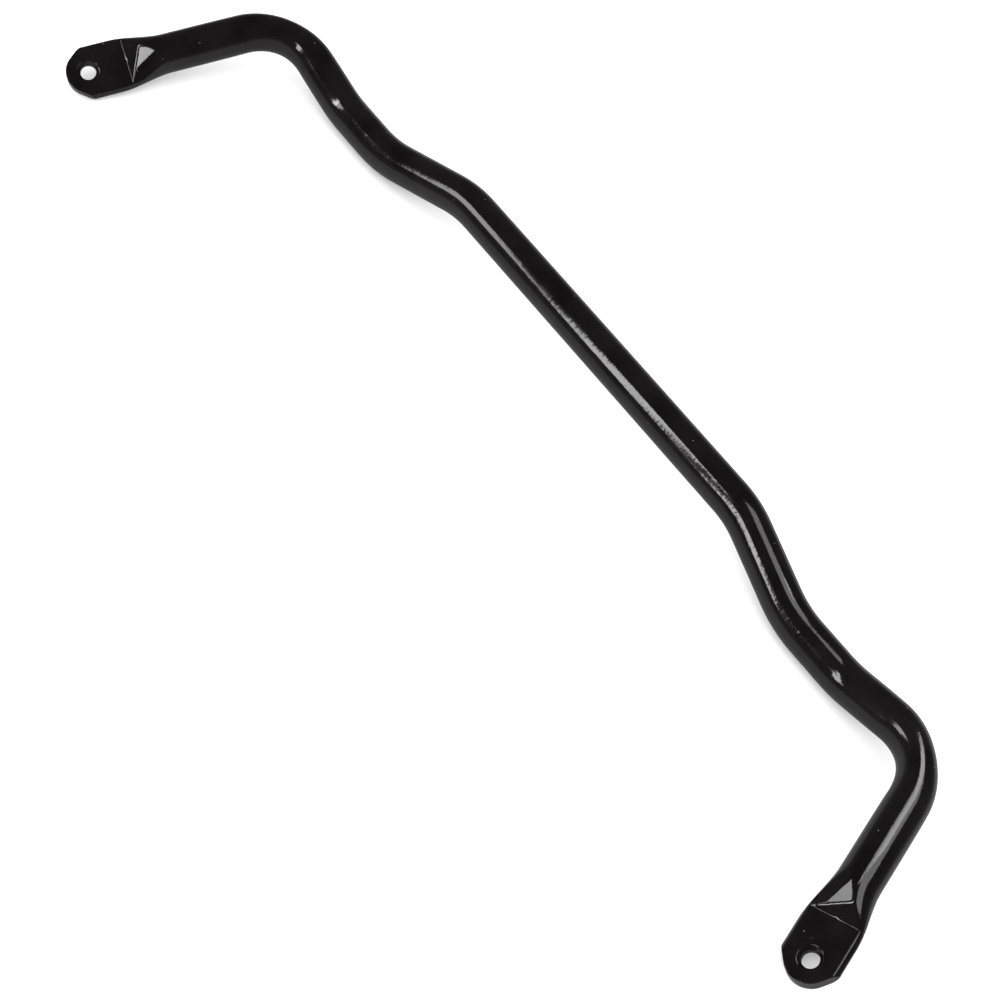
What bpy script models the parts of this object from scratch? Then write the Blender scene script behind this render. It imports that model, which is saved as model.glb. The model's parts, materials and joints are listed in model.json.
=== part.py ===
"""Sway bar: one forged spring-steel bar with a flattened, drilled eye at each end.

Metres, +Z up.  The bar lies as it rests on a bench: on the undersides of its two bushing
seats and on the inner corners of its two eyes.  +X runs along the straight center bar to
the right, and both lever arms point to -Y.  The world origin is on the bench, below the
middle of the bar's box.

The real bar is one piece of steel.  It is divided here in two kinds of place: across the
straight center bar, where it winds up in use, so that each lever arm can turn about the
center bar's axis, and behind each eye, so that the drilled plate is a simple solid.
"""

import math

import bmesh
import bpy
from mathutils import Matrix, Vector

# Driving dimensions, in metres and radians.
BAR_DIAMETER = 0.0286
GAP = 0.0003

# Centre line of the right half in the bar's own frame, whose X axis is the center bar's.
CENTER_BAR_HALF = 0.130
FIRST_BEND = Vector((0.153, 0.0, 0.0))
SEAT_INNER = Vector((0.227, -0.0195, -0.013))
SEAT_OUTER = Vector((0.2795, -0.0195, -0.013))
MAIN_BEND = Vector((0.3555, -0.015, 0.0075))
EYE_CENTER = Vector((0.4035, -0.1605, 0.0075))
BEND_RADII = (0.090, 0.100, 0.070, 0.048)
BEND_STEPS = (5, 5, 5, 12)

# The bar thins across the plane of its hardest bend and swells a little the other way.
BEND_THINNING = 0.12
BEND_SWELLING = 0.04
BEND_THINNING_REACH = 0.022

# Flattened eye: a plate with rounded sides, a trimmed nose and a hole countersunk at 45 degrees.
EYE_WIDTH = 0.040
EYE_THICKNESS = 0.0086
EYE_SIDE_HEIGHT = 0.0083
EYE_ROLL = math.radians(20.0)
EYE_BACK = 0.029
NOSE_RADIUS = 0.016
NOSE_CORNER = 0.0006
NOSE_STEPS = 9
HOLE_DIAMETER = 0.0115
COUNTERSINK_DIAMETER = 0.0164

# Forged transition from the round bar down to the plate.  The bar spreads along a stretch
# that ends a little way past the crease between ramp and plate.
SPREAD_LENGTH = 0.039
SPREAD_PAST_CREASE = 0.009
RAMP_REACH = SPREAD_LENGTH - SPREAD_PAST_CREASE
RAMP_STEPS = 14
PLATE_SPREAD_STEPS = 3
PRESS_ROUND = 0.0006

# The ramp has two facets: a steep one along the crease, and a gentle one that starts at the
# crease's inner end and slopes down inwards as well.  A shoulder falls away inboard of the
# gentle facet, along a line that leaves the crease's end fast and then slowly.
STEEP_SLOPE = 0.65
GENTLE_SLOPE = 0.32
GENTLE_SIDE_SLOPE = 0.16
CREASE_INNER_END = -0.017
SHOULDER_SLOPE = 0.30
SHOULDER_START_SPREAD = 1.5
SHOULDER_LINE = -0.0114
SHOULDER_LINE_SPREAD = 0.46

# The eye turns to its full roll over the first part of the lever, at this rate.
ROLL_RATE = 1.4

SIDES = 32
BAR_RADIUS = BAR_DIAMETER / 2
CUTTER_OVERRUN = 0.001
SHARP_ANGLE = math.radians(30.0)
STEEPEST_TIP = math.radians(30.0)
TIP_HALVINGS = 40
PAINT = (0.012, 0.010, 0.011, 1.0)
PAINT_ROUGHNESS = 0.22


def clear_scene():
    for item in list(bpy.data.objects):
        bpy.data.objects.remove(item, do_unlink=True)


def gloss_paint(name):
    material = bpy.data.materials.new(name)
    material.use_nodes = True
    shader = material.node_tree.nodes["Principled BSDF"]
    shader.inputs["Base Color"].default_value = PAINT
    shader.inputs["Roughness"].default_value = PAINT_ROUGHNESS
    shader.inputs["Metallic"].default_value = 0.0
    return material


def smoothstep(value):
    value = min(max(value, 0.0), 1.0)
    return value * value * (3.0 - 2.0 * value)


def corner_arc(before, corner, after, radius, steps):
    """Points and tangents along the fillet of one corner of the centre line."""
    incoming = (corner - before).normalized()
    outgoing = (after - corner).normalized()
    turn = incoming.angle(outgoing)
    axis = incoming.cross(outgoing).normalized()
    start = corner - incoming * radius * math.tan(turn / 2)
    center = start + axis.cross(incoming) * radius
    arc = []
    for index in range(steps + 1):
        spin = Matrix.Rotation(turn * index / steps, 3, axis)
        arc.append((center + spin @ (start - center), spin @ incoming))
    return arc


def arm_centre_line():
    """Points and tangents of the right arm, and the middle of its hardest bend."""
    start = Vector((CENTER_BAR_HALF + GAP / 2, 0.0, 0.0))
    corners = [start, FIRST_BEND, SEAT_INNER, SEAT_OUTER, MAIN_BEND, EYE_CENTER]
    line = [(start, Vector((1.0, 0.0, 0.0)))]
    for index, radius in enumerate(BEND_RADII):
        before, corner, after = corners[index : index + 3]
        arc = corner_arc(before, corner, after, radius, BEND_STEPS[index])
        line += arc
    bend_middle = arc[len(arc) // 2][0]
    heading = (EYE_CENTER - MAIN_BEND).normalized()
    for step in range(RAMP_STEPS + 1):
        back = EYE_BACK + GAP / 2 + RAMP_REACH * (1.0 - step / RAMP_STEPS)
        line.append((EYE_CENTER - heading * back, heading))
    return line, bend_middle


def soft_clip(height, limit, blend):
    """The height, pressed flat at +-limit with a rounded shoulder."""
    size = abs(height)
    overlap = max(blend - abs(size - limit), 0.0)
    pressed = min(size, limit) - overlap * overlap / (4.0 * blend)
    return math.copysign(pressed, height)


def pressed_height(behind_crease, side):
    """How high the dies leave the metal at a point of the plate or of the ramp behind it."""
    ramp = max(behind_crease, 0.0)
    gentle = GENTLE_SLOPE * ramp + GENTLE_SIDE_SLOPE * max(side - CREASE_INNER_END, 0.0)
    shoulder_line = min(
        SHOULDER_LINE + SHOULDER_LINE_SPREAD * ramp,
        CREASE_INNER_END + SHOULDER_START_SPREAD * ramp,
    )
    shoulder = max(gentle + SHOULDER_SLOPE * (side - shoulder_line), 0.0)
    return EYE_THICKNESS / 2 + min(STEEP_SLOPE * ramp, gentle, shoulder)


def section(behind_crease, thinning=1.0, swelling=1.0):
    """Outline of the bar or plate: an ellipse whose top and bottom are pressed by the dies."""
    spread = 1.0 - smoothstep((behind_crease + SPREAD_PAST_CREASE) / SPREAD_LENGTH)
    half_width = thinning * (BAR_RADIUS + (EYE_WIDTH / 2 - BAR_RADIUS) * spread)
    half_height = swelling * (BAR_RADIUS + (EYE_SIDE_HEIGHT - BAR_RADIUS) * spread**2)
    points = []
    for index in range(SIDES):
        angle = 2 * math.pi * (index + 0.5) / SIDES
        side = half_width * math.cos(angle)
        limit = pressed_height(behind_crease, side)
        points.append((side, soft_clip(half_height * math.sin(angle), limit, PRESS_ROUND)))
    return points


def section_axes(tangent, roll):
    """Directions across and up at a point of the centre line, rolled about the tangent."""
    up = Vector((0.0, 0.0, 1.0))
    up = (up - tangent * up.dot(tangent)).normalized()
    across = up.cross(tangent)
    rolled_across = across * math.cos(roll) + up * math.sin(roll)
    rolled_up = up * math.cos(roll) - across * math.sin(roll)
    return rolled_across, rolled_up


def close_tube(shape, rings):
    """Quads between the rings and a face over each end."""
    count = len(rings[0])
    for first, second in zip(rings, rings[1:]):
        for index in range(count):
            after = (index + 1) % count
            shape.faces.new((first[index], first[after], second[after], second[index]))
    shape.faces.new(list(reversed(rings[0])))
    shape.faces.new(rings[-1])


def arm_shape(origin):
    """The right arm: two gentle kinks, the bushing seat, the main bend and the lever."""
    line, bend_middle = arm_centre_line()
    lever = (EYE_CENTER - MAIN_BEND).length
    shape = bmesh.new()
    rings = []
    for point, tangent in line:
        to_eye = (EYE_CENTER - point).length
        reach = (point - bend_middle).length / BEND_THINNING_REACH
        bending = math.exp(-reach * reach)
        thinning = 1.0 - BEND_THINNING * bending
        swelling = 1.0 + BEND_SWELLING * bending
        roll = EYE_ROLL * smoothstep(ROLL_RATE * (1.0 - to_eye / lever))
        across, up = section_axes(tangent, roll)
        ring = []
        for side, height in section(to_eye - EYE_BACK, thinning, swelling):
            ring.append(shape.verts.new(point - origin + across * side + up * height))
        rings.append(ring)
    close_tube(shape, rings)
    return shape


def eye_matrix():
    """Frame of the right eye: X to the nose, Y outboard, Z out of the upper face."""
    heading = (EYE_CENTER - MAIN_BEND).normalized()
    across, up = section_axes(heading, EYE_ROLL)
    return Matrix((heading, across, up)).transposed()


def plate_shape():
    """The plate before trimming: the pressed section drawn out along local X."""
    shape = bmesh.new()
    start = -EYE_BACK + GAP / 2
    spread_end = -EYE_BACK + SPREAD_PAST_CREASE
    stations = []
    for step in range(PLATE_SPREAD_STEPS + 1):
        stations.append(start + (spread_end - start) * step / PLATE_SPREAD_STEPS)
    stations.append(NOSE_RADIUS + CUTTER_OVERRUN)
    rings = []
    for along in stations:
        outline = section(-EYE_BACK - along)
        rings.append([shape.verts.new((along, side, height)) for side, height in outline])
    close_tube(shape, rings)
    return shape


def nose_trim_shape():
    """Prism of the trimmed outline: straight sides, two corner cuts and a round nose."""
    corner = Vector((NOSE_CORNER, EYE_WIDTH / 2))
    tangent_angle = math.atan2(corner.y, corner.x) - math.acos(NOSE_RADIUS / corner.length)
    touch = Vector((math.cos(tangent_angle), math.sin(tangent_angle))) * NOSE_RADIUS
    clear = corner + (corner - touch) * (CUTTER_OVERRUN / (corner - touch).y)
    upper = [(-2 * EYE_BACK, clear.y), (clear.x, clear.y)]
    for index in range(NOSE_STEPS + 1):
        angle = tangent_angle * (1.0 - index / NOSE_STEPS)
        upper.append((NOSE_RADIUS * math.cos(angle), NOSE_RADIUS * math.sin(angle)))
    outline = upper + [(along, -side) for along, side in reversed(upper[:-1])]
    shape = bmesh.new()
    rings = []
    for height in (-EYE_THICKNESS, EYE_THICKNESS):
        rings.append([shape.verts.new((along, side, height)) for along, side in outline])
    close_tube(shape, rings)
    return shape


def hole_cutter_shape():
    """The drill and the countersinks of both faces, as one turned profile."""
    radius = HOLE_DIAMETER / 2
    face = EYE_THICKNESS / 2
    sink = COUNTERSINK_DIAMETER / 2
    upper = [
        (radius, face - (sink - radius)),
        (sink + CUTTER_OVERRUN, face + CUTTER_OVERRUN),
    ]
    profile = [(reach, -height) for reach, height in reversed(upper)] + upper
    shape = bmesh.new()
    rings = []
    for reach, height in profile:
        ring = []
        for index in range(SIDES):
            angle = 2 * math.pi * index / SIDES
            ring.append(shape.verts.new((reach * math.cos(angle), reach * math.sin(angle), height)))
        rings.append(ring)
    close_tube(shape, rings)
    return shape


def center_bar_shape():
    """The straight bar between the two first bends."""
    shape = bmesh.new()
    length = 2 * CENTER_BAR_HALF - GAP
    bmesh.ops.create_cone(
        shape,
        cap_ends=True,
        segments=SIDES,
        radius1=BAR_RADIUS,
        radius2=BAR_RADIUS,
        depth=length,
        matrix=Matrix.Rotation(math.pi / 2, 4, "Y"),
    )
    return shape


def add_object(name, shape, mirrored=False):
    if mirrored:
        bmesh.ops.scale(shape, vec=(-1.0, 1.0, 1.0), verts=shape.verts)
    bmesh.ops.recalc_face_normals(shape, faces=shape.faces)
    mesh = bpy.data.meshes.new(name)
    shape.to_mesh(mesh)
    shape.free()
    mesh.shade_smooth()
    mesh.set_sharp_from_angle(angle=SHARP_ANGLE)
    item = bpy.data.objects.new(name, mesh)
    bpy.context.scene.collection.objects.link(item)
    return item


def as_cutter(item):
    item.hide_render = True
    item.display_type = "WIRE"
    return item


def add_boolean(item, operation, cutter):
    modifier = item.modifiers.new(operation.lower(), "BOOLEAN")
    modifier.operation = operation
    modifier.solver = "EXACT"
    modifier.object = cutter


def make_side(side, bar_frame):
    """One arm and its eye; the left ones mirror the right ones across the YZ plane."""
    mirrored = side == "left"
    sign = -1.0 if mirrored else 1.0
    pivot = Vector((CENTER_BAR_HALF, 0.0, 0.0))
    arm = add_object(f"{side}_arm", arm_shape(pivot), mirrored)
    arm.parent = bar_frame
    arm.location = (sign * pivot.x, 0.0, 0.0)
    arm.data.materials.append(gloss_paint(f"{side}_arm_paint"))

    turn = eye_matrix()
    shapes = {"eye": plate_shape(), "nose_trim": nose_trim_shape(), "hole_drill": hole_cutter_shape()}
    pieces = {}
    for name, shape in shapes.items():
        bmesh.ops.transform(shape, matrix=turn.to_4x4(), verts=shape.verts)
        pieces[name] = add_object(f"{side}_{name}", shape, mirrored)
        pieces[name].parent = arm
        offset = EYE_CENTER - pivot
        pieces[name].location = (sign * offset.x, offset.y, offset.z)
    add_boolean(pieces["eye"], "INTERSECT", as_cutter(pieces["nose_trim"]))
    add_boolean(pieces["eye"], "DIFFERENCE", as_cutter(pieces["hole_drill"]))
    pieces["eye"].data.materials.append(gloss_paint(f"{side}_eye_paint"))
    return arm, pieces["eye"]


def world_points(item):
    bpy.context.view_layer.update()
    seen = item.evaluated_get(bpy.context.evaluated_depsgraph_get())
    return [seen.matrix_world @ vertex.co for vertex in seen.data.vertices]


def lay_on_bench(bar_frame, arm, eye):
    """Tip the bar about X until seats and eyes touch the bench, then centre it."""
    arm_points = world_points(arm)
    eye_points = world_points(eye)
    level, steep = 0.0, STEEPEST_TIP
    for _ in range(TIP_HALVINGS):
        tip = (level + steep) / 2
        spin = Matrix.Rotation(tip, 3, "X")
        arm_low = min((spin @ point).z for point in arm_points)
        eye_low = min((spin @ point).z for point in eye_points)
        if eye_low > arm_low:
            level = tip
        else:
            steep = tip
    points = [spin @ point for point in arm_points + eye_points]
    front = min(point.y for point in points)
    back = max(max(point.y for point in points), BAR_RADIUS)
    bar_frame.rotation_euler = (tip, 0.0, 0.0)
    bar_frame.location = (0.0, -(front + back) / 2, -min(point.z for point in points))


def main():
    clear_scene()
    bar_frame = bpy.data.objects.new("bar_frame", None)
    bpy.context.scene.collection.objects.link(bar_frame)
    center = add_object("center_bar", center_bar_shape())
    center.parent = bar_frame
    center.data.materials.append(gloss_paint("center_bar_paint"))
    make_side("left", bar_frame)
    arm, eye = make_side("right", bar_frame)
    lay_on_bench(bar_frame, arm, eye)


main()
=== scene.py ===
"""Looks of the sway bar: the fine painted steel surface, floor, soft light and camera.

The real bar is one forging.  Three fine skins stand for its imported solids: one for the straight
center bar, and one for each arm with its eye.  Neighbouring skins meet on the same ring of points,
and that ring is centred on the twist joints' axis, so no gap opens between them when an arm turns.
"""

import json
import math

import bmesh
import bpy
from mathutils import Matrix, Vector


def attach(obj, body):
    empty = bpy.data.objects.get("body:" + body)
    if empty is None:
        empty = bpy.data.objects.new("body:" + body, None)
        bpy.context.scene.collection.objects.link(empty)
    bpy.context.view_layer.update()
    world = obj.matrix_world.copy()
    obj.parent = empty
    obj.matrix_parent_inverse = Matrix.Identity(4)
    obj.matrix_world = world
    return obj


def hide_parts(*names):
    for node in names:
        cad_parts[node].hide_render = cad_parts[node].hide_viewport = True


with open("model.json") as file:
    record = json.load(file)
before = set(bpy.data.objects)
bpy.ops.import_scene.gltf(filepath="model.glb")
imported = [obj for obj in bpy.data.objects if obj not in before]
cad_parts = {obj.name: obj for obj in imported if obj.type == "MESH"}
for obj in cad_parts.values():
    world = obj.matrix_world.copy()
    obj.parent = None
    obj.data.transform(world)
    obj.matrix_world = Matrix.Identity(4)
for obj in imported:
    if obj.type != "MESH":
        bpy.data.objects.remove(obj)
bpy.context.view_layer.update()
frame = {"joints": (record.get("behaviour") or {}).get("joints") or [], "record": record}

MM = 0.001

# Round bar.  Its centre line is given in the bar's own frame: X runs along the center bar.
BAR_RADIUS = 14.3 * MM
FIRST_BEND = Vector((153, 0, 0)) * MM
SEAT_INNER = Vector((227, -19.5, -13)) * MM
SEAT_OUTER = Vector((279.5, -19.5, -13)) * MM
MAIN_BEND = Vector((355.5, -15, 7.5)) * MM
EYE_CENTER = Vector((403.5, -160.5, 7.5)) * MM
BEND_RADII = (90 * MM, 100 * MM, 70 * MM, 48 * MM)

# The hardest bend thins the bar across its plane and swells it a little the other way.
BEND_THINNING = 0.12
BEND_SWELLING = 0.04
BEND_THINNING_REACH = 22 * MM

# Forged eye.  The bar spreads along a stretch that ends a little way past the crease.
EYE_HALF_WIDTH = 20 * MM
EYE_SIDE_HEIGHT = 8.3 * MM
EYE_HALF_THICKNESS = 4.3 * MM
EYE_ROLL = math.radians(20)
EYE_BACK = 29 * MM
SPREAD_LENGTH = 39 * MM
SPREAD_PAST_CREASE = 9 * MM
PRESS_ROUND = 0.6 * MM
RAMP_REACH = SPREAD_LENGTH - SPREAD_PAST_CREASE

# The section rolls to the eye's angle this much faster than evenly along the lever.
ROLL_RATE = 1.4

# A distance along the eye's axis at which the section is plain round bar.
FAR_FROM_EYE = -1.0

# The ramp down to the eye has two facets: a steep one along the crease, and a gentle one that
# starts at the crease's inner end and slopes down inwards as well.  The die leaves a shoulder
# inboard of the gentle facet, along a line that leaves the crease's end fast and then slowly.
STEEP_SLOPE = 0.65
GENTLE_SLOPE = 0.32
GENTLE_SIDE_SLOPE = 0.16
SHOULDER_SLOPE = 0.30
SHOULDER_START_SPREAD = 1.5
SHOULDER_LINE = -11.4 * MM
SHOULDER_LINE_SPREAD = 0.46
CREASE_INNER_END = -17 * MM
CREASE_FILLET = 0.15 * MM
FACET_EDGE_ROUND = 0.25 * MM
SHOULDER_EDGE_ROUND = 0.2 * MM

# The rounds between facets start small at the crease and grow with the distance from it.
EDGE_ROUND_GROWTH = 0.3
EDGE_ROUND_START = 0.01 * MM

# Small nick in the middle of the crease, where its fillet is wider.
NICK_SIDE = 1.5 * MM
NICK_HALF_WIDTH = 1.8 * MM
NICK_FILLET = 1.2 * MM

# Trimmed nose and drilled hole.
NOSE_RADIUS = 16.0 * MM
NOSE_CORNER = Vector((0.6, 20)) * MM
NOSE_EDGE_ROUND = 0.5 * MM
NOSE_EDGE_LEAST = 0.2  # share of the height that the round always leaves
HOLE_RADIUS = 5.75 * MM
COUNTERSINK_RADIUS = 8.2 * MM
COUNTERSINK_ANGLE = math.radians(45)
COUNTERSINK_EDGE_ROUND = 1.2 * MM
HOLE_EDGE_ROUND = 0.3 * MM
CUTTER_OVERRUN = 1.0 * MM

# Fineness of the skins.
FACE_POINTS = 57
WALL_POINTS = 7
RING_POINTS = 2 * (FACE_POINTS + WALL_POINTS)
WALL_ANGLE = math.pi / RING_POINTS * (WALL_POINTS + 1)
NOSE_WALL_ANGLE = math.radians(0.6)
NOSE_WALL_REACH = 14 * MM
BAR_STEP = 3.0 * MM
BEND_STEP = 1.2 * MM
RAMP_STEP = 0.7 * MM
CREASE_STEPS = 10
CREASE_CROWDING = 2
CUT_CROWDING = 1.5
NOSE_STEPS = 24
NOSE_TIP_ANGLE = math.radians(1)
HOLE_SIDES = 96
ROUND_STEPS = 8
SHARP_ANGLE = math.radians(28)

# How bright the surroundings look in the bar's gloss, which is dimmer than they are to the camera.
# In the gloss the floor's colour is painted light, bright near and darker far over a distance in metres:
# a painted falloff of its reflection. The sky's glow fades over the sine of the elevation.
PAINTED_FLOOR_GLOW_NEAR = 0.62
PAINTED_FLOOR_GLOW_FAR = 0.22
PAINTED_GLOW_FADE_DISTANCE = 0.5
HORIZON_GLOW = 0.12
SKY_GLOW = 0.03
GLOW_FADE_HEIGHT = 0.5

# Brightness of the surroundings outside the gloss.
SKY_STRENGTH = 2.2
FLOOR_PALENESS = 0.9

# Floor.
FLOOR_HALF_SIZE = 12
FLOOR_ROUGHNESS = 0.9
FLOOR_SPECULAR = 0.1

# Paint: its two nearly black tones, its gloss, and the grains of its textures in cells per metre.
PAINT_IOR = 1.48
DARK_TONE = (0.0028, 0.0021, 0.0024)
LIGHT_TONE = (0.0052, 0.0042, 0.0046)
TONE_SCALE = 38
TONE_DETAIL = 4
TONE_RANGE = (0.35, 0.65)
GLOSS_ROUGHNESS = (0.055, 0.11)
GLOSS_SCALE = 75
GLOSS_DETAIL = 3
GLOSS_RANGE = (0.3, 0.7)
DUST_TONE = (0.10, 0.095, 0.095)
DUST_ROUGHNESS = 0.4
DUST_SCALE = 330
DUST_RADIUS = (0.10, 0.16)
DUST_RARITY = (0.965, 0.97)
PEEL_SCALE = 520
PEEL_DEPTH = 0.05 * MM
PEEL_STRENGTH = 0.7
SAG_SCALE = 120
SAG_DEPTH = 0.12 * MM
SAG_STRENGTH = 0.5
BUMP_DETAIL = 2
BUMP_DETAIL_ROUGHNESS = 0.4


def joint_point(name):
    """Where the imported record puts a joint."""
    return Vector(next(j["pos_m"] for j in frame["joints"] if j["name"] == name))


def opening_centre(name):
    """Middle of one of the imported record's openings."""
    boxes = frame["record"]["physics"]["openings"]
    low, high = next(o["box_m"] for o in boxes if o["name"] == name)
    return (Vector(low) + Vector(high)) / 2


TWIST_POINT = joint_point("right_arm_twist")
CENTER_BAR_HALF = TWIST_POINT.x


def bar_to_world():
    """Places the bar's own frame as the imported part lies: tipped until its eyes touch down."""
    hole = opening_centre("right_eye_hole") - TWIST_POINT
    tip = math.atan2(hole.z, hole.y) - math.atan2(EYE_CENTER.z, EYE_CENTER.y)
    axis_point = Vector((0, TWIST_POINT.y, TWIST_POINT.z))
    return Matrix.Translation(axis_point) @ Matrix.Rotation(tip, 4, "X")


def smoothstep(value):
    value = min(max(value, 0.0), 1.0)
    return value * value * (3.0 - 2.0 * value)


def corner_arc(before, corner, after, radius):
    """Points and tangents along the fillet of one corner of the centre line."""
    incoming = (corner - before).normalized()
    outgoing = (after - corner).normalized()
    turn = incoming.angle(outgoing)
    axis = incoming.cross(outgoing).normalized()
    start = corner - incoming * radius * math.tan(turn / 2)
    center = start + axis.cross(incoming) * radius
    steps = math.ceil(turn * radius / BEND_STEP)
    arc = []
    for index in range(steps + 1):
        spin = Matrix.Rotation(turn * index / steps, 3, axis)
        arc.append((center + spin @ (start - center), spin @ incoming))
    return arc


def straight_run(start, end, step):
    """Points strictly between two points of the centre line."""
    steps = math.ceil((end - start).length / step)
    return [start.lerp(end, index / steps) for index in range(1, steps)]


def arm_centre_line():
    """Points and tangents from the twist joint to the start of the forged ramp."""
    start = Vector((CENTER_BAR_HALF, 0, 0))
    corners = [start, FIRST_BEND, SEAT_INNER, SEAT_OUTER, MAIN_BEND, EYE_CENTER]
    line = [(start, Vector((1, 0, 0)))]
    for index, radius in enumerate(BEND_RADII):
        arc = corner_arc(*corners[index : index + 3], radius)
        run = straight_run(line[-1][0], arc[0][0], BAR_STEP)
        line += [(point, arc[0][1]) for point in run] + arc
    bend_middle = arc[len(arc) // 2][0]
    heading = arc[-1][1]
    ramp_start = EYE_CENTER - heading * (EYE_BACK + RAMP_REACH)
    run = straight_run(line[-1][0], ramp_start, BAR_STEP)
    line += [(point, heading) for point in run]
    return line, bend_middle


def nose_tangent_angle():
    """Polar angle, from the nose's tip, where the straight corner cut meets the round nose."""
    return math.atan2(NOSE_CORNER.y, NOSE_CORNER.x) - math.acos(NOSE_RADIUS / NOSE_CORNER.length)


def eye_stations():
    """Distances along the eye, from the hole's centre towards the nose, where rings are put."""
    ramp_steps = math.ceil(RAMP_REACH / RAMP_STEP)
    stations = [-EYE_BACK - RAMP_REACH * (1 - i / ramp_steps) for i in range(ramp_steps)]
    stations = [a for a in stations if a < -EYE_BACK - NICK_FILLET]

    # Rings crowd towards the crease from both sides.
    for index in range(-CREASE_STEPS, CREASE_STEPS + 1):
        share = math.copysign((index / CREASE_STEPS) ** CREASE_CROWDING, index)
        stations.append(-EYE_BACK + NICK_FILLET * share)

    # Even rings over the flat, up to the corners where the trimming cuts start.
    flat_start = stations[-1]
    flat_length = NOSE_CORNER.x - flat_start
    flat_steps = math.ceil(flat_length / RAMP_STEP)
    stations += [flat_start + flat_length * i / flat_steps for i in range(1, flat_steps + 1)]

    # Rings along the straight cuts crowd towards those corners.
    touch = nose_tangent_angle()
    cut_length = NOSE_RADIUS * math.cos(touch) - NOSE_CORNER.x
    cut_steps = math.ceil(cut_length / RAMP_STEP) * 2
    for index in range(1, cut_steps):
        stations.append(NOSE_CORNER.x + cut_length * (index / cut_steps) ** CUT_CROWDING)

    # Rings round the nose at even angles.
    stations += [NOSE_RADIUS * math.cos(touch * (1 - i / NOSE_STEPS)) for i in range(NOSE_STEPS)]
    stations.append(NOSE_RADIUS * math.cos(NOSE_TIP_ANGLE))
    return stations


def trimmed_half_width(along):
    """Half width that the trimming dies leave at a distance along the eye."""
    if along <= NOSE_CORNER.x:
        return EYE_HALF_WIDTH
    touch = nose_tangent_angle()
    end = Vector((math.cos(touch), math.sin(touch))) * NOSE_RADIUS
    if along < end.x:
        share = (along - NOSE_CORNER.x) / (end.x - NOSE_CORNER.x)
        return NOSE_CORNER.y + (end.y - NOSE_CORNER.y) * share
    return math.sqrt(NOSE_RADIUS**2 - along**2)


def trim_distance(along, side):
    """Distance inside the trimmed outline, positive inwards, of a point on the eye's face."""
    touch = nose_tangent_angle()
    point = Vector((along, abs(side)))
    cut_normal = Vector((math.cos(touch), math.sin(touch)))
    if math.atan2(point.y, point.x) < touch:
        return NOSE_RADIUS - point.length
    return NOSE_RADIUS - point.dot(cut_normal)


def soft_clip(height, limit, blend):
    """The height, pressed flat at the limit with a rounded shoulder."""
    overlap = max(blend - abs(height - limit), 0.0)
    return min(height, limit) - overlap * overlap / (4.0 * blend)


def edge_drop(distance):
    """How far the rounded edge of a trimmed wall falls at a distance inside the outline."""
    inside = min(max(distance, 0.0), NOSE_EDGE_ROUND)
    return NOSE_EDGE_ROUND - math.sqrt(NOSE_EDGE_ROUND**2 - (NOSE_EDGE_ROUND - inside) ** 2)


def forged_profile(along):
    """Half width and side height of the bar at a distance along the eye."""
    behind = -EYE_BACK - along
    spread = 1.0 - smoothstep((behind + SPREAD_PAST_CREASE) / SPREAD_LENGTH)
    half_width = BAR_RADIUS + (EYE_HALF_WIDTH - BAR_RADIUS) * spread
    side_height = BAR_RADIUS + (EYE_SIDE_HEIGHT - BAR_RADIUS) * spread**2
    return half_width, side_height


def pressed_height(along, side):
    """How high the dies leave the metal at a point of the eye or of the ramp behind it."""
    behind = -EYE_BACK - along
    ramp = max(behind, 0.0)
    nick = math.exp(-(((side - NICK_SIDE) / NICK_HALF_WIDTH) ** 2))
    fillet = CREASE_FILLET + (NICK_FILLET - CREASE_FILLET) * nick
    overlap = max(fillet - abs(behind), 0.0)
    steep = STEEP_SLOPE * (ramp + overlap * overlap / (4.0 * fillet))
    gentle = GENTLE_SLOPE * ramp + GENTLE_SIDE_SLOPE * max(side - CREASE_INNER_END, 0.0)
    near_crease = EDGE_ROUND_GROWTH * ramp + EDGE_ROUND_START
    shoulder_line = SHOULDER_LINE + SHOULDER_LINE_SPREAD * ramp
    shoulder_line = min(shoulder_line, CREASE_INNER_END + SHOULDER_START_SPREAD * ramp)
    shoulder = gentle + SHOULDER_SLOPE * (side - shoulder_line)
    inboard = soft_clip(gentle, shoulder, min(SHOULDER_EDGE_ROUND, near_crease))
    inboard = max(inboard, 0.0)
    return EYE_HALF_THICKNESS + soft_clip(steep, inboard, min(FACET_EDGE_ROUND, near_crease))


def section(half_width, side_height, along):
    """One ring of (side, height) points: upper face, wall, lower face, wall."""
    near_corner = smoothstep(1 + (along - NOSE_CORNER.x) / NOSE_WALL_REACH)
    wall_angle = WALL_ANGLE + (NOSE_WALL_ANGLE - WALL_ANGLE) * near_corner
    limit = min(trimmed_half_width(along), half_width)
    upper = []
    for index in range(FACE_POINTS):
        angle = wall_angle + (math.pi - 2 * wall_angle) * index / (FACE_POINTS - 1)
        side = limit * math.cos(angle)
        height = side_height * math.sqrt(max(1 - (side / half_width) ** 2, 0))
        height = soft_clip(height, pressed_height(along, side), PRESS_ROUND)
        if along > NOSE_CORNER.x - NOSE_EDGE_ROUND:
            dropped = height - edge_drop(trim_distance(along, side))
            height = max(dropped, NOSE_EDGE_LEAST * height)
        upper.append((side, height))
    edge_side, edge_height = upper[-1]
    wall = []
    for index in range(1, WALL_POINTS + 1):
        angle = wall_angle * (1 - 2 * index / (WALL_POINTS + 1))
        height = edge_height * math.sin(angle) / math.sin(wall_angle)
        wall.append((edge_side * math.cos(angle) / math.cos(wall_angle), height))
    lower = [(side, -height) for side, height in reversed(upper)]
    other_wall = [(-side, -height) for side, height in wall]
    return upper + wall + lower + other_wall


def section_axes(tangent, roll):
    """Directions across and up at a point of the centre line, rolled about the tangent."""
    up = Vector((0, 0, 1))
    up = (up - tangent * up.dot(tangent)).normalized()
    across = up.cross(tangent)
    rolled_across = across * math.cos(roll) + up * math.sin(roll)
    rolled_up = up * math.cos(roll) - across * math.sin(roll)
    return rolled_across, rolled_up


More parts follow.
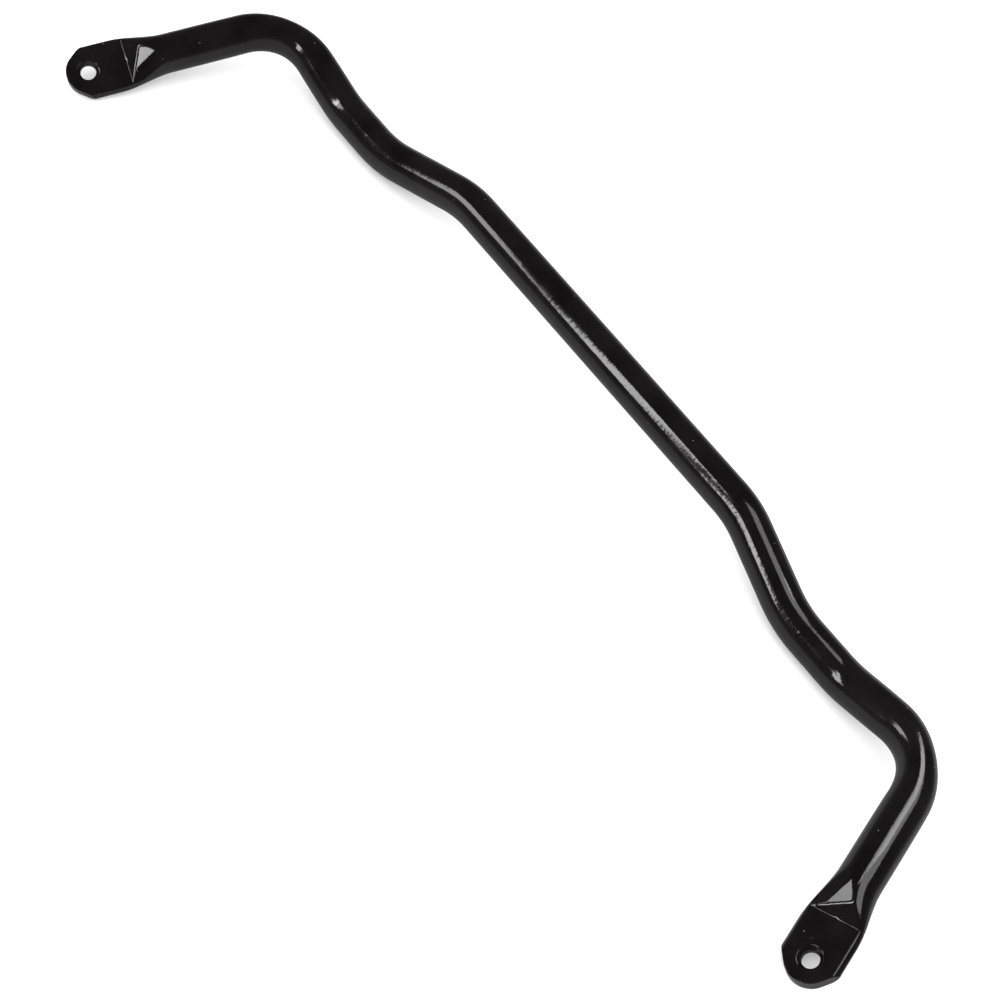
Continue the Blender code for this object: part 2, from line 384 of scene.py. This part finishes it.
def arm_rings():
    """Rings of the right arm and eye in the bar's frame, from the twist joint to the nose."""
    line, bend_middle = arm_centre_line()
    heading = line[-1][1]
    lever = (EYE_CENTER - MAIN_BEND).length
    places = [(point, tangent, -(EYE_CENTER - point).length) for point, tangent in line]
    places += [(EYE_CENTER + heading * along, heading, along) for along in eye_stations()]
    rings = []
    for point, tangent, along in places:
        half_width, side_height = forged_profile(along)
        reach = (point - bend_middle).length / BEND_THINNING_REACH
        bending = math.exp(-reach * reach)
        half_width *= 1.0 - BEND_THINNING * bending
        side_height *= 1.0 + BEND_SWELLING * bending
        roll = EYE_ROLL * smoothstep(ROLL_RATE * (1.0 + along / lever))
        across, up = section_axes(tangent, roll)
        outline = section(half_width, side_height, along)
        rings.append([point + across * side + up * height for side, height in outline])
    return rings


def center_rings():
    """Rings of the straight center bar, from its left joint to its right one."""
    steps = math.ceil(2 * CENTER_BAR_HALF / BAR_STEP)
    across, up = section_axes(Vector((1, 0, 0)), 0.0)
    rings = []
    for index in range(steps + 1):
        point = Vector((CENTER_BAR_HALF * (2 * index / steps - 1), 0, 0))
        outline = section(BAR_RADIUS, BAR_RADIUS, FAR_FROM_EYE)
        rings.append([point + across * side + up * height for side, height in outline])
    return rings


def closed_tube(rings):
    """Quads between the rings and a face over each end."""
    shape = bmesh.new()
    loops = [[shape.verts.new(point) for point in ring] for ring in rings]
    for first, second in zip(loops, loops[1:]):
        for index in range(RING_POINTS):
            after = (index + 1) % RING_POINTS
            shape.faces.new((first[index], first[after], second[after], second[index]))
    shape.faces.new(list(reversed(loops[0])))
    shape.faces.new(loops[-1])
    return shape


def add_mesh(name, shape, place):
    """Makes an object of a shape, moved to its place in the world."""
    shape.transform(place)
    bmesh.ops.recalc_face_normals(shape, faces=shape.faces)
    mesh = bpy.data.meshes.new(name)
    shape.to_mesh(mesh)
    shape.free()
    mesh.shade_smooth()
    mesh.set_sharp_from_angle(angle=SHARP_ANGLE)
    item = bpy.data.objects.new(name, mesh)
    bpy.context.scene.collection.objects.link(item)
    return item


def eye_place():
    """Frame of the right eye in the bar's frame: X to the nose, Y outboard, Z out of its face."""
    heading = (EYE_CENTER - MAIN_BEND).normalized()
    across, up = section_axes(heading, EYE_ROLL)
    turn = Matrix((heading, across, up)).transposed().to_4x4()
    return Matrix.Translation(EYE_CENTER) @ turn


def rounded_corner(corner, angle_before, angle_after, radius):
    """Points of the fillet between two straight lines that meet in a turned profile."""
    half_turn = (angle_after - angle_before) / 2
    bisector = (angle_before + angle_after + math.pi) / 2
    away = radius / math.cos(half_turn)
    side = math.copysign(1.0, half_turn)
    middle = corner + Vector((math.cos(bisector), math.sin(bisector))) * away * side
    points = []
    for index in range(ROUND_STEPS + 1):
        angle = angle_before + 2 * half_turn * index / ROUND_STEPS
        outward = Vector((math.sin(angle), -math.cos(angle))) * side
        points.append(tuple(middle + outward * radius))
    return points


def drill_shape():
    """The hole with a rounded-edged countersink at each face, as a turned cutter."""
    face = EYE_HALF_THICKNESS
    sink_depth = (COUNTERSINK_RADIUS - HOLE_RADIUS) / math.tan(COUNTERSINK_ANGLE)
    hole_corner = Vector((HOLE_RADIUS, face - sink_depth))
    face_corner = Vector((COUNTERSINK_RADIUS, face))
    cone = math.pi / 2 - COUNTERSINK_ANGLE
    upper = rounded_corner(hole_corner, math.pi / 2, cone, HOLE_EDGE_ROUND)
    upper += rounded_corner(face_corner, cone, 0.0, COUNTERSINK_EDGE_ROUND)
    upper.append((upper[-1][0], face + CUTTER_OVERRUN))
    profile = [(reach, -height) for reach, height in reversed(upper)] + upper
    shape = bmesh.new()
    loops = []
    for reach, height in profile:
        turn = [2 * math.pi * index / HOLE_SIDES for index in range(HOLE_SIDES)]
        loops.append([shape.verts.new((reach * math.cos(a), reach * math.sin(a), height)) for a in turn])
    for first, second in zip(loops, loops[1:]):
        for index in range(HOLE_SIDES):
            after = (index + 1) % HOLE_SIDES
            shape.faces.new((first[index], first[after], second[after], second[index]))
    shape.faces.new(list(reversed(loops[0])))
    shape.faces.new(loops[-1])
    return shape


def drill(item, place):
    """Cuts the hole through an eye and applies the cut."""
    cutter = add_mesh("drill", drill_shape(), place)
    cut = item.modifiers.new("hole", "BOOLEAN")
    cut.operation = "DIFFERENCE"
    cut.solver = "EXACT"
    cut.object = cutter
    graph = bpy.context.evaluated_depsgraph_get()
    mesh = bpy.data.meshes.new_from_object(item.evaluated_get(graph))
    item.modifiers.clear()
    item.data = mesh
    bpy.data.objects.remove(cutter)
    mesh.shade_smooth()
    mesh.set_sharp_from_angle(angle=SHARP_ANGLE)


def gloss_black_paint():
    """Black enamel over forged steel: orange peel, faint sag, dust and a slightly uneven gloss."""
    material = bpy.data.materials.new("gloss_black_paint")
    material.use_nodes = True
    nodes = material.node_tree.nodes
    links = material.node_tree.links
    shader = nodes["Principled BSDF"]
    shader.inputs["IOR"].default_value = PAINT_IOR
    place = nodes.new("ShaderNodeTexCoord").outputs["Object"]

    def noise(scale, detail, roughness=0.5):
        texture = nodes.new("ShaderNodeTexNoise")
        texture.inputs["Scale"].default_value = scale
        texture.inputs["Detail"].default_value = detail
        texture.inputs["Roughness"].default_value = roughness
        links.new(place, texture.inputs["Vector"])
        return texture.outputs["Fac"]

    def ramp(value, low, high, start, end):
        scaled = nodes.new("ShaderNodeMapRange")
        scaled.inputs["From Min"].default_value = low
        scaled.inputs["From Max"].default_value = high
        scaled.inputs["To Min"].default_value = start
        scaled.inputs["To Max"].default_value = end
        links.new(value, scaled.inputs["Value"])
        return scaled.outputs["Result"]

    def mix(share, first, second):
        blend = nodes.new("ShaderNodeMix")
        blend.data_type = "RGBA"
        links.new(share, blend.inputs["Factor"])
        for socket, value in (("A", first), ("B", second)):
            target = next(s for s in blend.inputs if s.name == socket and s.type == "RGBA")
            if isinstance(value, tuple):
                target.default_value = (*value, 1.0)
            else:
                links.new(value, target)
        return next(s for s in blend.outputs if s.type == "RGBA")

    # Tiny specks of dust that lie on the paint.
    specks = nodes.new("ShaderNodeTexVoronoi")
    specks.inputs["Scale"].default_value = DUST_SCALE
    links.new(place, specks.inputs["Vector"])
    near = ramp(specks.outputs["Distance"], *DUST_RADIUS, 1.0, 0.0)
    split = nodes.new("ShaderNodeSeparateColor")
    links.new(specks.outputs["Color"], split.inputs["Color"])
    chosen = ramp(split.outputs["Red"], *DUST_RARITY, 0.0, 1.0)
    dust = nodes.new("ShaderNodeMath")
    dust.operation = "MULTIPLY"
    links.new(near, dust.inputs[0])
    links.new(chosen, dust.inputs[1])

    clouds = ramp(noise(TONE_SCALE, TONE_DETAIL), *TONE_RANGE, 0.0, 1.0)
    tone = mix(clouds, DARK_TONE, LIGHT_TONE)
    tinted = mix(dust.outputs[0], tone, DUST_TONE)
    links.new(tinted, shader.inputs["Base Color"])

    sheen = ramp(noise(GLOSS_SCALE, GLOSS_DETAIL), *GLOSS_RANGE, *GLOSS_ROUGHNESS)
    rough = nodes.new("ShaderNodeMath")
    rough.operation = "MULTIPLY_ADD"
    rough.inputs[1].default_value = DUST_ROUGHNESS
    links.new(dust.outputs[0], rough.inputs[0])
    links.new(sheen, rough.inputs[2])
    links.new(rough.outputs[0], shader.inputs["Roughness"])

    peel = nodes.new("ShaderNodeBump")
    peel.inputs["Distance"].default_value = PEEL_DEPTH
    peel.inputs["Strength"].default_value = PEEL_STRENGTH
    links.new(noise(PEEL_SCALE, BUMP_DETAIL, BUMP_DETAIL_ROUGHNESS), peel.inputs["Height"])
    sag = nodes.new("ShaderNodeBump")
    sag.inputs["Distance"].default_value = SAG_DEPTH
    sag.inputs["Strength"].default_value = SAG_STRENGTH
    links.new(noise(SAG_SCALE, BUMP_DETAIL, BUMP_DETAIL_ROUGHNESS), sag.inputs["Height"])
    links.new(peel.outputs["Normal"], sag.inputs["Normal"])
    links.new(sag.outputs["Normal"], shader.inputs["Normal"])
    return material


def dress_bar():
    """Builds the three skins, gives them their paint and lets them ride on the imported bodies."""
    place = bar_to_world()
    paint = gloss_black_paint()
    center = add_mesh("center_bar_skin", closed_tube(center_rings()), place)
    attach(center, "center_bar")
    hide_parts("center_bar")
    skins = [center]
    rings = arm_rings()
    for side, mirror in (("left", -1), ("right", 1)):
        flip = Matrix.Diagonal((mirror, 1, 1, 1))
        skin = add_mesh(f"{side}_arm_skin", closed_tube(rings), place @ flip)
        drill(skin, place @ flip @ eye_place())
        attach(skin, f"{side}_arm")
        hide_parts(f"{side}_arm", f"{side}_eye")
        skins.append(skin)
    for skin in skins:
        skin.data.materials.clear()
        skin.data.materials.append(paint)


def make_floor():
    """Plain pale floor under the bar. In the gloss its colour is painted darker the farther off it is: a
    painted falloff of light in its reflection.
    """
    shape = bmesh.new()
    bmesh.ops.create_grid(shape, x_segments=1, y_segments=1, size=FLOOR_HALF_SIZE)
    mesh = bpy.data.meshes.new("floor")
    shape.to_mesh(mesh)
    shape.free()
    floor = bpy.data.objects.new("floor", mesh)
    bpy.context.scene.collection.objects.link(floor)
    material = bpy.data.materials.new("pale_floor")
    material.use_nodes = True
    nodes = material.node_tree.nodes
    links = material.node_tree.links
    shader = nodes["Principled BSDF"]
    shader.inputs["Roughness"].default_value = FLOOR_ROUGHNESS
    shader.inputs["Specular IOR Level"].default_value = FLOOR_SPECULAR
    # Painted light: glossy rays see the floor's colour painted bright near the bar and darker with ray
    # length.
    path = nodes.new("ShaderNodeLightPath")
    painted_floor_glow = nodes.new("ShaderNodeMapRange")
    painted_floor_glow.interpolation_type = "SMOOTHSTEP"
    painted_floor_glow.inputs["From Max"].default_value = PAINTED_GLOW_FADE_DISTANCE
    painted_floor_glow.inputs["To Min"].default_value = PAINTED_FLOOR_GLOW_NEAR / SKY_STRENGTH
    painted_floor_glow.inputs["To Max"].default_value = PAINTED_FLOOR_GLOW_FAR / SKY_STRENGTH
    links.new(path.outputs["Ray Length"], painted_floor_glow.inputs["Value"])
    tone = nodes.new("ShaderNodeMapRange")
    tone.inputs["To Min"].default_value = FLOOR_PALENESS
    links.new(path.outputs["Is Glossy Ray"], tone.inputs["Value"])
    links.new(painted_floor_glow.outputs["Result"], tone.inputs["To Max"])
    links.new(tone.outputs["Result"], shader.inputs["Base Color"])
    mesh.materials.append(material)


def soft_box(name, place, turn, width, height, radiance):
    """Rectangular soft light that faces the bar and shows only in its gloss."""
    data = bpy.data.lights.new(name, "AREA")
    data.shape = "RECTANGLE"
    data.size = width
    data.size_y = height
    data.energy = radiance * math.pi * width * height
    light = bpy.data.objects.new(name, data)
    bpy.context.scene.collection.objects.link(light)
    light.location = place
    facing = (-Vector(place)).to_track_quat("-Z", "Y").to_matrix()
    light.rotation_euler = (facing @ Matrix.Rotation(-turn, 3, "Z")).to_euler()
    light.visible_diffuse = False
    light.visible_camera = False


def light_scene():
    """A bright even sky for the floor, dim in the gloss, and the soft boxes that the gloss shows.

    The boxes are placed so that their reflections fall on the bright stretches of the gloss.
    """
    world = bpy.data.worlds.new("studio")
    bpy.context.scene.world = world
    world.use_nodes = True
    nodes = world.node_tree.nodes
    links = world.node_tree.links
    sky = nodes["Background"]
    sky.inputs["Color"].default_value = (1, 1, 1, 1)
    direction = nodes.new("ShaderNodeSeparateXYZ")
    links.new(nodes.new("ShaderNodeTexCoord").outputs["Generated"], direction.inputs["Vector"])
    glow = nodes.new("ShaderNodeMapRange")
    glow.interpolation_type = "SMOOTHSTEP"
    glow.inputs["From Max"].default_value = GLOW_FADE_HEIGHT
    glow.inputs["To Min"].default_value = HORIZON_GLOW
    glow.inputs["To Max"].default_value = SKY_GLOW
    links.new(direction.outputs["Z"], glow.inputs["Value"])
    path = nodes.new("ShaderNodeLightPath")
    dim = nodes.new("ShaderNodeMapRange")
    dim.inputs["To Min"].default_value = SKY_STRENGTH
    links.new(path.outputs["Is Glossy Ray"], dim.inputs["Value"])
    links.new(glow.outputs["Result"], dim.inputs["To Max"])
    links.new(dim.outputs["Result"], sky.inputs["Strength"])
    soft_box(
        "long_box",
        place=(-4.02, -8.21, 7.74),
        turn=1.374,
        width=7.40,
        height=1.07,
        radiance=10.7,
    )
    soft_box(
        "near_box",
        place=(0.321, 0.110, 0.196),
        turn=-0.234,
        width=0.263,
        height=0.116,
        radiance=4.8,
    )
    soft_box(
        "right_box",
        place=(0.375, 0.223, 0.645),
        turn=-0.435,
        width=0.684,
        height=0.299,
        radiance=3.2,
    )
    soft_box(
        "left_box",
        place=(-0.709, -0.739, 0.798),
        turn=-0.689,
        width=0.231,
        height=0.489,
        radiance=6.9,
    )
    soft_box(
        "front_box",
        place=(-0.315, -1.585, 1.133),
        turn=0.053,
        width=0.150,
        height=0.882,
        radiance=11.4,
    )


def make_camera():
    """The camera, aimed by azimuth, elevation and roll."""
    target = Vector((0.0543, -0.0469, 0.020))
    azimuth, elevation, roll = (math.radians(a) for a in (-38.297, 57.627, 16.626))
    distance = 1.2415
    lens = 68.10
    ahead = Vector((math.sin(azimuth), math.cos(azimuth), -math.tan(elevation))).normalized()
    data = bpy.data.cameras.new("camera")
    data.lens = lens
    camera = bpy.data.objects.new("camera", data)
    bpy.context.scene.collection.objects.link(camera)
    level = ahead.to_track_quat("-Z", "Y").to_matrix()
    camera.matrix_world = Matrix.Translation(target - ahead * distance) @ (
        level @ Matrix.Rotation(roll, 3, "Z")
    ).to_4x4()
    bpy.context.scene.camera = camera


dress_bar()
make_floor()
light_scene()
make_camera()
bpy.context.scene.view_settings.view_transform = "Standard"
